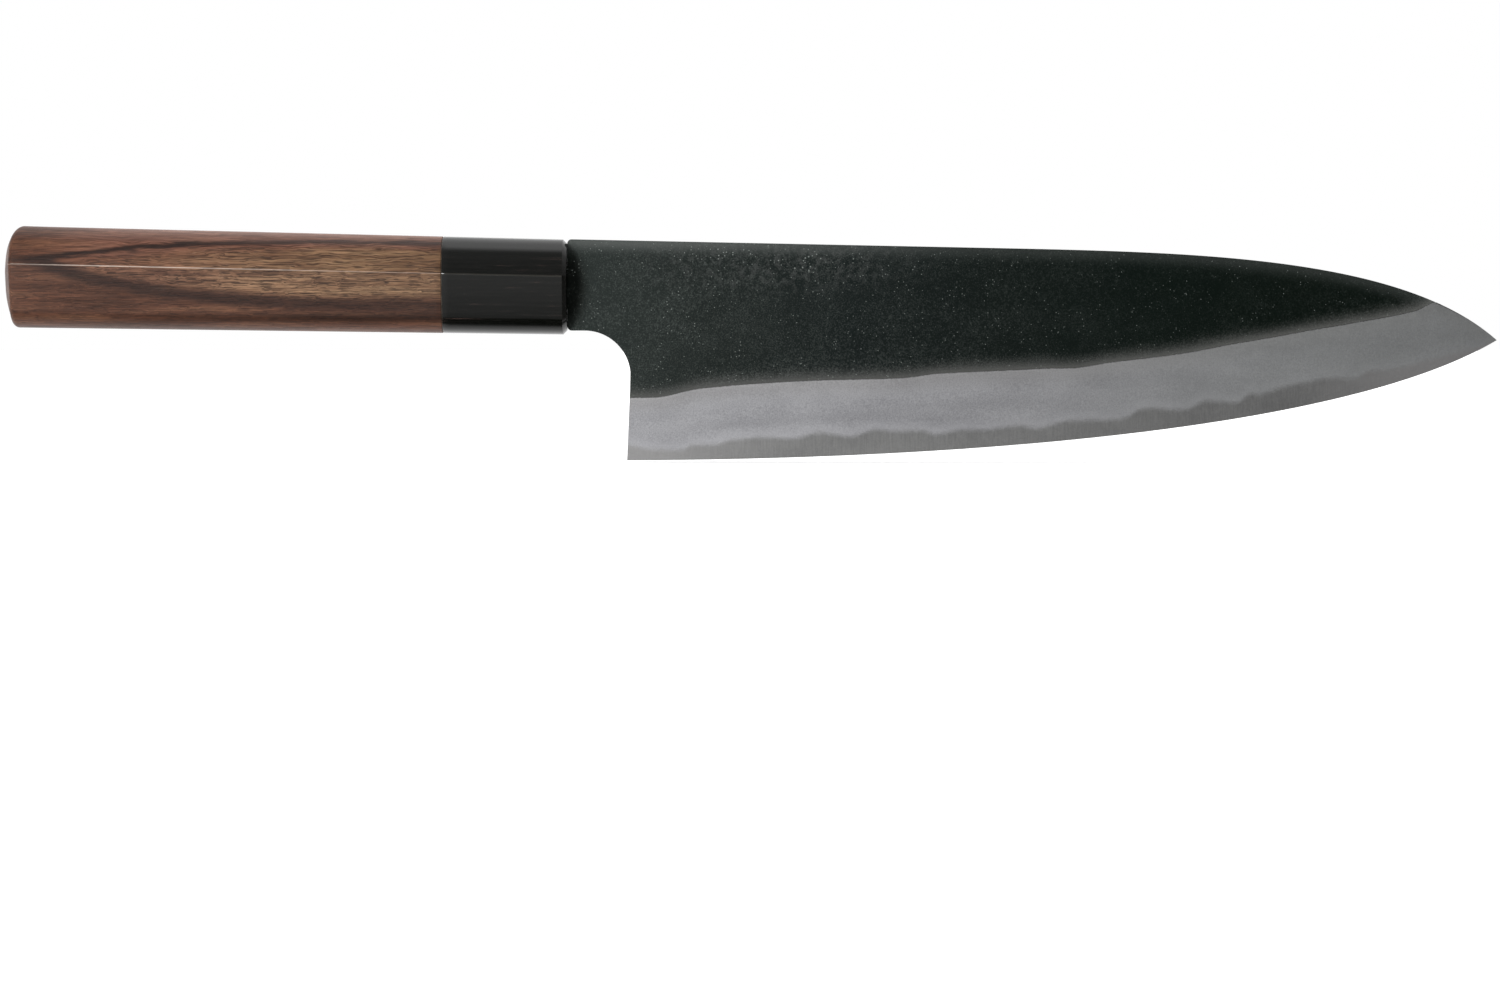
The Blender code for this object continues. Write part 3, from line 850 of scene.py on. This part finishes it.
def add_up(material, *terms):
    """The sum of (socket, factor) pairs."""
    total = None
    for socket, factor in terms:
        term = material.times(socket, factor)
        total = term if total is None else material.plus(total, term)
    return total


def scale_ground(m, tone):
    """The scale's colour, darker and greener towards the tip, under a light grain. Its darkening towards
    the tip is painted shade.
    """
    # Painted shade: the scale's colour darkens from the heel towards the tip, as the light falls off along
    # the blade.
    colour = m.ramp(
        m.between(m.along(HEEL_X), -30, 210, change="LINEAR"),
        [
            (0.00, shade(38, 44, 42)),
            (0.10, shade(33, 39, 37)),
            (0.20, shade(24, 30, 28)),
            (0.35, shade(13, 21, 20)),
            (0.50, shade(8, 17, 14)),
            (0.65, shade(2, 13, 8)),
            (0.80, shade(1, 11, 5)),
        ],
    )
    light = m.times(m.between(tone, 0.46, 0.64), m.between(m.along(HEEL_X), -10, 140, 0.34, 0.07))
    return m.mix(light, colour, shade(84, 89, 86))


def scale_borders(m, colour, tone, above_bevel):
    """Worn scale along the bevel and the spine, and a painted shadow on the scale close to the ferrule."""
    reach = m.times(above_bevel, m.between(tone, 0.38, 0.62, 1.25, 0.8))
    border = m.math("POWER", m.between(reach, -1.0, 6.5, 1, 0), 2.9)
    colour = m.mix(m.times(border, 0.85), colour, shade(91, 91, 89))
    lightened = m.math("POWER", m.between(m.stored("below_spine"), 0.3, 6.0, 1, 0), 3.0)
    lightened = m.times(lightened, m.between(m.along(HEEL_X), -5, 90, 0.50, 0.14))
    colour = m.mix(lightened, colour, shade(98, 101, 99))
    # Painted shadow: the scale darkens in an oval just in front of the ferrule, where the ferrule shades
    # the neck.
    from_painted_shadow = m.patch(FERRULE_FRONT_X - 0.7 * MM, AXIS_SHOULDER_Z - 0.3 * MM, 6.5, 11.5)
    return m.mix(m.between(from_painted_shadow, 0.5, 1.1, 0.8, 0), colour, shade(4, 7, 3))


def scale_specks(m, colour, cloud):
    """Pale specks, crowded in places, and short hair lines."""
    crowded = m.between(m.noise(m.place, scale=0.30, detail=2), 0.42, 0.62, 0.08, 0.17)
    crowded = m.plus(crowded, m.times(m.times(cloud, cloud), 0.06))
    speck = m.math("MULTIPLY", m.minus(crowded, m.cells(m.place, 1.1)), 11.0, clamp=True)
    speck = m.times(speck, m.between(m.along(HEEL_X), -10, 150, 0.75, 0.4))
    colour = m.mix(speck, colour, shade(134, 140, 136))
    wandering = m.noise(m.place, scale=0.75, detail=2, roughness=0.6, distortion=0.8)
    hair = m.between(m.math("ABSOLUTE", m.minus(wandering, 0.5)), 0.003, 0.010, 1, 0)
    broken = m.between(m.noise(m.place, scale=0.8, detail=1), 0.50, 0.60)
    hair = m.times(m.times(hair, broken), m.between(m.along(HEEL_X), -10, 150, 0.32, 0.12))
    return m.mix(hair, colour, shade(104, 110, 106))


def forge_scale_colour(m, above_bevel):
    """Black forge scale: green-black and grainy, darkened towards the tip by painted shade, with a paler
    cloud, worn borders, a painted shadow by the ferrule, specks and hairs.
    """
    broad = m.noise(m.stretched(0.07, 0.07, 0.11), detail=3, roughness=0.55)
    mottle = m.noise(m.place, scale=0.55, detail=5, roughness=0.68)
    grain = m.noise(m.place, scale=2.7, detail=3, roughness=0.75)
    tone = add_up(m, (broad, 0.20), (mottle, 0.10), (grain, 0.70))
    from_cloud = m.patch(HEEL_X + 36 * MM, NECK_TOP_Z - 5.8 * MM, 40, 8.5)
    cloud = m.between(from_cloud, 0.1, 1.25, 1, 0)
    blotch = m.times(m.between(add_up(m, (mottle, 0.7), (grain, 0.3)), 0.46, 0.60), cloud)
    colour = m.mix(m.times(blotch, 0.62), scale_ground(m, tone), shade(60, 62, 61))
    return scale_specks(m, scale_borders(m, colour, tone, above_bevel), cloud)


def soft_steel_colour(m, tone, above_bevel, above_weld):
    """The ground cladding: hazy, paler just above the weld line, warmer under the bevel's top."""
    hazy = [(0.0, (0.43, 0.43, 0.455, 1)), (1.0, (0.73, 0.73, 0.755, 1))]
    colour = m.ramp(m.between(tone, 0.3, 0.7), hazy)
    halo = m.math("POWER", m.between(above_weld, 0.2, 4.5, 1, 0), 2.0)
    colour = m.mix(m.times(halo, 0.38), colour, (0.81, 0.81, 0.845, 1))
    colour = m.mix(m.between(above_bevel, -5.0, 0.0, 0.0, 0.35), colour, (0.575, 0.557, 0.54, 1))
    pits = m.math("LESS_THAN", m.cells(m.place, 0.55), 0.045)
    colour = m.mix(m.times(pits, 0.35), colour, (0.30, 0.30, 0.30, 1))
    return m.mix(m.between(m.along(HEEL_X), 70, 180, 0.0, 0.5), colour, (0.62, 0.645, 0.63, 1))


def hard_steel_colour(m, cloud, grain):
    """The core: darker, with short streaks down to the edge, and paler at the heel and the tip."""
    streaks = m.noise(m.stretched(2.6, 1.0, 0.25), detail=2, roughness=0.6)
    tone = add_up(m, (cloud, 0.3), (streaks, 0.35), (grain, 0.35))
    darker = [(0.0, (0.34, 0.34, 0.34, 1)), (1.0, (0.45, 0.45, 0.445, 1))]
    colour = m.ramp(m.between(tone, 0.35, 0.65), darker)
    heel = m.between(m.along(HEEL_X), 0, 45, 0.55, 0)
    towards_ends = m.math("MAXIMUM", heel, m.between(m.along(HEEL_X), 156, 198))
    return m.mix(towards_ends, colour, (0.62, 0.61, 0.61, 1))


def steel_colour(m, above_bevel, above_weld):
    """Ground steel that darkens softly into the hard core at the weld line, with a fine grain."""
    cloud = m.noise(m.stretched(0.05, 0.05, 0.16), detail=2)
    grain = m.noise(m.place, scale=2.9, detail=3, roughness=0.75)
    soft = soft_steel_colour(m, add_up(m, (cloud, 0.35), (grain, 0.65)), above_bevel, above_weld)
    ragged = m.noise(m.stretched(0.9, 0.9, 1.4), detail=3, roughness=0.6)
    line = m.plus(above_weld, m.times(m.minus(ragged, 0.5), 0.9))
    return m.mix(m.between(line, -1.3, 0.6), hard_steel_colour(m, cloud, grain), soft)


def cladding_material():
    """Forge scale above the bevel's top line, hazy ground steel below it."""
    m = Material("forged_cladding", roughness=0.5, specular=0.08)
    above_bevel = m.stored("above_bevel")
    above_weld = m.stored("above_weld")
    ragged = m.noise(m.place, scale=1.3, detail=3, roughness=0.6)
    line = m.plus(above_bevel, m.times(m.minus(ragged, 0.5), 0.3))
    scaled = m.between(line, -0.05, 0.28)
    steel = steel_colour(m, above_bevel, above_weld)
    colour = m.mix(scaled, steel, forge_scale_colour(m, above_bevel))
    m.link(m.between(line, 0.15, 0.45, 1.0, 0.0), m.shader.inputs["Metallic"])
    rough_grain = m.noise(m.place, scale=2.0, detail=3, roughness=0.7)
    scale_rough = m.between(rough_grain, 0.3, 0.7, 0.46, 0.66)
    ground_rough = m.between(rough_grain, 0.3, 0.7, 0.33, 0.39)
    rough = m.plus(m.times(scaled, scale_rough), m.times(m.minus(1.0, scaled), ground_rough))
    pits = m.noise(m.place, scale=1.9, detail=4, roughness=0.7)
    lumps = m.noise(m.place, scale=0.4, detail=3, roughness=0.6)
    fine = m.noise(m.place, scale=4.0, detail=1)
    forged = add_up(m, (m.minus(pits, 0.5), 0.05), (m.minus(lumps, 0.5), 0.06))
    return m.finish(colour, rough, m.plus(m.times(forged, scaled), m.times(fine, 0.002)))


def core_material():
    """The hard steel: darker, cloudy, with fine streaks across the edge from sharpening."""
    m = Material("hard_steel", roughness=0.36, metallic=1.0)
    colour = steel_colour(m, m.stored("above_bevel"), m.stored("above_weld"))
    rough_grain = m.noise(m.place, scale=2.0, detail=3, roughness=0.7)
    fine = m.noise(m.place, scale=4.0, detail=1)
    return m.finish(colour, m.between(rough_grain, 0.3, 0.7, 0.33, 0.39), m.times(fine, 0.002))


def wood_figure(m):
    """Distance outside the vein that opens from the butt as a V, and height above its middle."""
    from_butt = m.along(BUTT_X)
    _, y, z = m.parts(m.place)
    half_opening = m.times(m.math("TANH", m.math("DIVIDE", m.minus(from_butt, 6.0), 38.5)), 8.0)
    fall = m.math("EXPONENT", m.math("DIVIDE", m.minus(from_butt, 12.0), -45.0))
    middle = m.plus(m.times(fall, 3.4), AXIS_SHOULDER_Z / MM + 2.5)
    up = m.minus(z, middle)
    depth = m.times(m.plus(y, 9.0), 0.75)
    return m.minus(m.vector("LENGTH", m.join(0.0, depth, up)), half_opening), up


def bark_side_colour(m, above):
    """The red-brown wood outside the flame, lighter above it."""
    warm = m.noise(m.stretched(0.03, 0.4, 0.4), detail=3)
    lower = m.ramp(warm, [(0.3, shade(63, 37, 24)), (0.5, shade(81, 50, 35)), (0.7, shade(97, 65, 46))])
    upper = m.ramp(warm, [(0.3, shade(88, 55, 43)), (0.5, shade(107, 71, 57)), (0.7, shade(124, 87, 70))])
    return m.mix(m.times(above, m.between(m.along(BUTT_X), 5, 30, 0.1, 1.0)), lower, upper)


def flame_colour(m, bent):
    """The olive wood within the vein, redder towards the butt and darker by the ferrule."""
    from_butt = m.along(BUTT_X)
    tone = m.noise(m.stretched(0.04, 0.7, 0.7, bent), detail=3, roughness=0.6)
    olive = m.ramp(tone, [(0.3, shade(88, 62, 45)), (0.5, shade(119, 91, 67)), (0.7, shade(140, 112, 84))])
    red = m.ramp(tone, [(0.3, shade(82, 52, 38)), (0.7, shade(118, 83, 63))])
    colour = m.mix(m.between(from_butt, 24, 80), red, olive)
    return m.mix(m.between(from_butt, 78, 100, 0.0, 0.45), colour, shade(84, 60, 42))


def dark_veins(m, colour, distance, above, wander):
    """The vein round the flame, narrower above it, and a second vein low on the handle that is partly
    painted shade.
    """
    from_butt = m.along(BUTT_X)
    width = m.between(above, 0.0, 1.0, 1.7, 0.75)
    vein = m.between(m.math("DIVIDE", m.math("ABSOLUTE", distance), width), 0.25, 1.5, 1, 0)
    below_strength = m.between(from_butt, 5, 80, 0.85, 0.75)
    strength = m.mix(above, below_strength, m.between(from_butt, 30, 80, 1.0, 0.85))
    colour = m.mix(m.times(vein, strength), colour, shade(40, 24, 19))
    # The second vein is partly painted shade: it darkens the handle where its lower facet turns down into
    # the crown, away from the light.
    up = m.minus(m.parts(m.place)[2], AXIS_SHOULDER_Z / MM - 7.5)
    second = m.between(m.math("ABSOLUTE", m.plus(up, m.times(wander, 0.6))), 0.2, 1.9, 1, 0)
    return m.mix(m.times(second, m.between(from_butt, 30, 85, 0.3, 0.9)), colour, shade(42, 23, 13))


def painted_ridge_highlight(m, colour, fibres):
    """A painted highlight: the fine pale line along the handle's ridge, where it catches the light."""
    from_butt = m.along(BUTT_X)
    ridge = m.between(m.stored("from_ridge"), 0.04, 0.19, 1, 0)
    bright = m.times(m.between(from_butt, 4, 25, 0.4, 1.0), m.between(from_butt, 40, 95, 0.8, 0.25))
    # Painted highlight along the ridge, fading along the handle.
    lightened = m.times(m.times(ridge, bright), m.between(fibres, 0.3, 0.6, 0.5, 1.0))
    return m.mix(lightened, colour, shade(196, 178, 164))


def rosewood_material():
    """Oiled rosewood: an olive flame between dark veins, red-brown outside, with long pores, a painted
    sheen along its top and a painted highlight on its ridge.
    """
    m = Material("rosewood", roughness=0.42, specular=0.32)
    wave = m.times(m.minus(m.noise(m.stretched(0.11, 0.25, 0.25), detail=2), 0.5), 1.8)
    bent = m.vector("ADD", m.place, m.join(0.0, wave, wave))
    sway = m.noise(m.stretched(0.035, 0.12, 0.12), detail=2)
    frayed = m.noise(m.stretched(0.12, 1.3, 1.3, bent), detail=3, roughness=0.6)
    wander = add_up(m, (m.minus(sway, 0.5), 1.2), (m.minus(frayed, 0.5), 1.7))
    outside, up = wood_figure(m)
    distance = m.plus(outside, wander)
    above = m.between(up, -0.5, 0.5)
    colour = m.mix(m.between(distance, -3.2, -0.4), flame_colour(m, bent), bark_side_colour(m, above))
    colour = dark_veins(m, colour, distance, above, wander)
    # Painted sheen: the top of the handle near its crown is lightened, as if lit from above.
    colour = m.mix(m.between(up, 7.8, 9.4, 0.0, 0.38), colour, shade(168, 134, 120))
    fibres = m.noise(m.stretched(0.09, 4.2, 4.2, bent), detail=3, roughness=0.7)
    grain = m.ramp(fibres, [(0.32, (0.20, 0.18, 0.17, 1)), (0.68, (0.80, 0.79, 0.78, 1))])
    colour = m.mix(1.0, colour, grain, "OVERLAY")
    pores = m.noise(m.stretched(0.15, 4.2, 4.2, bent), detail=1)
    open_pores = m.times(m.between(pores, 0.53, 0.60), m.between(distance, -3.0, 1.5, 1.0, 0.45))
    colour = m.mix(m.times(open_pores, 0.72), colour, shade(38, 24, 16))
    raised = add_up(m, (open_pores, -0.02), (fibres, 0.012))
    return m.finish(painted_ridge_highlight(m, colour, fibres), m.between(fibres, 0.3, 0.7, 0.50, 0.40), raised)


def ferrule_material():
    """Near-black polished wood with faint brown streaks along it, and a painted highlight along its ridge.
    """
    m = Material("black_polished", roughness=0.2)
    streaks = m.noise(m.stretched(0.05, 1.4, 1.4), detail=4, roughness=0.6)
    fine = m.noise(m.stretched(0.25, 4.0, 4.0), detail=2, roughness=0.6)
    tone = add_up(m, (streaks, 0.7), (fine, 0.3))
    colour = m.ramp(tone, [(0.46, shade(4, 5, 3)), (0.60, shade(12, 12, 10)), (0.72, shade(52, 38, 34))])
    # Painted highlight: a paler line along the ferrule's ridge.
    ridge = m.between(m.stored("from_ridge"), 0.10, 0.30, 1, 0)
    colour = m.mix(m.times(ridge, 0.3), colour, shade(70, 68, 62))
    return m.finish(colour, m.between(fine, 0.3, 0.7, 0.15, 0.22), m.times(fine, 0.003))


def dowel_material():
    """Plain light wood of the hidden dowel."""
    m = Material("light_wood", roughness=0.65)
    grain = m.noise(m.stretched(0.08, 1.5, 1.5), detail=4, roughness=0.6)
    colour = m.ramp(grain, [(0.3, (0.40, 0.27, 0.14, 1)), (0.7, (0.62, 0.47, 0.29, 1))])
    return m.finish(colour, m.between(grain, 0.3, 0.7, 0.72, 0.58), m.times(grain, 0.03))


def glue_material(name, dark, light):
    """Set resin with slight clouding and a few trapped bubbles."""
    m = Material(name, roughness=0.25)
    cloud = m.noise(m.place, scale=0.4, detail=3)
    bubble = m.between(m.cells(m.place, 0.8), 0.10, 0.18, 1, 0)
    colour = m.mix(m.times(bubble, 0.4), m.ramp(cloud, [(0.35, dark), (0.65, light)]), light)
    return m.finish(colour, m.between(cloud, 0.3, 0.7, 0.20, 0.34), m.times(bubble, -0.05))


# The studio


def floor_material():
    """A white sweep that glows, more so further out, so that it stays pale to its far end."""
    m = Material("white_sweep", roughness=0.9)
    haze = m.noise(m.place, scale=0.002, detail=1)
    colour = m.ramp(haze, [(0.3, (0.84, 0.84, 0.84, 1)), (0.7, (0.88, 0.88, 0.88, 1))])
    m.link(colour, m.shader.inputs["Base Color"])
    m.shader.inputs["Emission Color"].default_value = (1, 1, 1, 1)
    glow = m.between(m.vector("LENGTH", m.place), 300, 2500, 0.5, 1.0)
    m.link(glow, m.shader.inputs["Emission Strength"])
    return m.material


def make_floor():
    mesh = bpy.data.meshes.new("floor")
    corners = [(-FLOOR_HALF, -FLOOR_HALF, 0), (FLOOR_HALF, -FLOOR_HALF, 0)]
    corners += [(FLOOR_HALF, FLOOR_HALF, 0), (-FLOOR_HALF, FLOOR_HALF, 0)]
    mesh.from_pydata(corners, [], [(0, 1, 2, 3)])
    floor = bpy.data.objects.new("floor", mesh)
    floor.location.z = -FLOOR_DROP
    mesh.materials.append(floor_material())
    bpy.context.scene.collection.objects.link(floor)
    floor.visible_glossy = False


def by_degrees(levels):
    """Ramp stops for levels of grey at degrees from -180 to 180."""
    return [((degrees + 180) / 360, (level, level, level, 1)) for degrees, level in levels]


def make_world():
    """White surroundings, with the softer light and shade of a studio in what the knife reflects."""
    world = bpy.data.worlds.new("studio")
    world.use_nodes = True
    bpy.context.scene.world = world
    world.node_tree.nodes.clear()
    w = Nodes(world.node_tree)
    x, y, z = w.parts(w.add("TexCoord").outputs["Generated"])
    turn = 1 / (2 * math.pi)
    height = w.plus(w.times(w.math("ARCSINE", z), turn), 0.5)
    heading = w.math("ARCTAN2", w.times(x, -1.0), w.times(y, -1.0))
    left = w.plus(w.times(heading, turn), 0.5)
    steep = w.math("POWER", w.math("ABSOLUTE", z), 4.0)
    by_side = w.times(w.ramp(left, by_degrees(WORLD_BY_SIDE)), w.minus(1.0, steep))
    front = w.times(w.ramp(height, by_degrees(WORLD_FRONT)), w.plus(by_side, steep))
    share = w.between(y, -0.1, 0.1, change="LINEAR")
    back = w.times(w.ramp(height, by_degrees(WORLD_BACK)), share)
    level = w.plus(w.times(front, w.minus(1.0, share)), back)
    white = (1, 1, 1, 1)
    lit = w.add("Background", {"Color": white, "Strength": level}).outputs[0]
    seen = w.add("Background", {"Color": white, "Strength": 1.0}).outputs[0]
    by_camera = w.add("LightPath").outputs["Is Camera Ray"]
    choice = w.add("MixShader", {0: by_camera, 1: lit, 2: seen}).outputs[0]
    w.add("OutputWorld", {0: choice})


def add_light(name, place, size, power, reflected=True):
    """A soft box turned to the knife, unseen by the camera and, if need be, in reflections."""
    data = bpy.data.lights.new(name, "AREA")
    data.shape = "RECTANGLE"
    data.size, data.size_y = size
    data.energy = power
    light = bpy.data.objects.new(name, data)
    light.location = place
    light.rotation_euler = (LIT_PLACE - Vector(place)).to_track_quat("-Z", "Y").to_euler()
    light.visible_camera = False
    light.visible_glossy = reflected
    bpy.context.scene.collection.objects.link(light)


def make_camera():
    """Level with the middle of the knife, a good metre away, tilted down so that the knife sits high."""
    data = bpy.data.cameras.new("camera")
    data.sensor_width = 36
    data.lens = CAMERA_LENS
    data.clip_start = 0.05
    data.clip_end = 100
    camera = bpy.data.objects.new("camera", data)
    camera.location = CAMERA_PLACE
    camera.rotation_euler = (math.radians(90 - CAMERA_TILT), 0, 0)
    bpy.context.scene.collection.objects.link(camera)
    bpy.context.scene.camera = camera


# Putting it together


def finish_piece(piece, material, slot, *nodes):
    """Gives a new piece its material and its body, and hides the CAD nodes that it stands for."""
    piece.data.materials.append(material)
    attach(piece, "root")
    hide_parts(*nodes)


def paint_node(name, material):
    """Gives a CAD node that stays its procedural material."""
    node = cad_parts[name]
    node.data.materials.clear()
    node.data.materials.append(material)


cladding = cladding_material()
finish_piece(make_core(), core_material(), "core_steel", "core_steel")
finish_piece(make_cladding("right_forged_cladding", -1), cladding, "cladding", "right_cladding")
finish_piece(make_cladding("left_forged_cladding", 1), cladding, "cladding", "left_cladding")
finish_piece(make_handle(), rosewood_material(), "handle_wood", "handle_body")
finish_piece(make_ferrule(), ferrule_material(), "ferrule", "ferrule")
paint_node("dowel", dowel_material())
paint_node("tang_adhesive", glue_material("tang_resin", (0.30, 0.21, 0.08, 1), (0.42, 0.32, 0.15, 1)))
paint_node("dowel_glue", glue_material("dowel_resin", (0.05, 0.035, 0.025, 1), (0.09, 0.07, 0.05, 1)))

make_floor()
make_world()
add_light("key", place=(-0.68, -1.23, 0.15), size=(0.36, 0.45), power=14)
add_light("top", place=(0.0, 0.7, 1.4), size=(1.6, 0.9), power=14, reflected=False)
make_camera()
bpy.context.scene.view_settings.view_transform = "Standard"
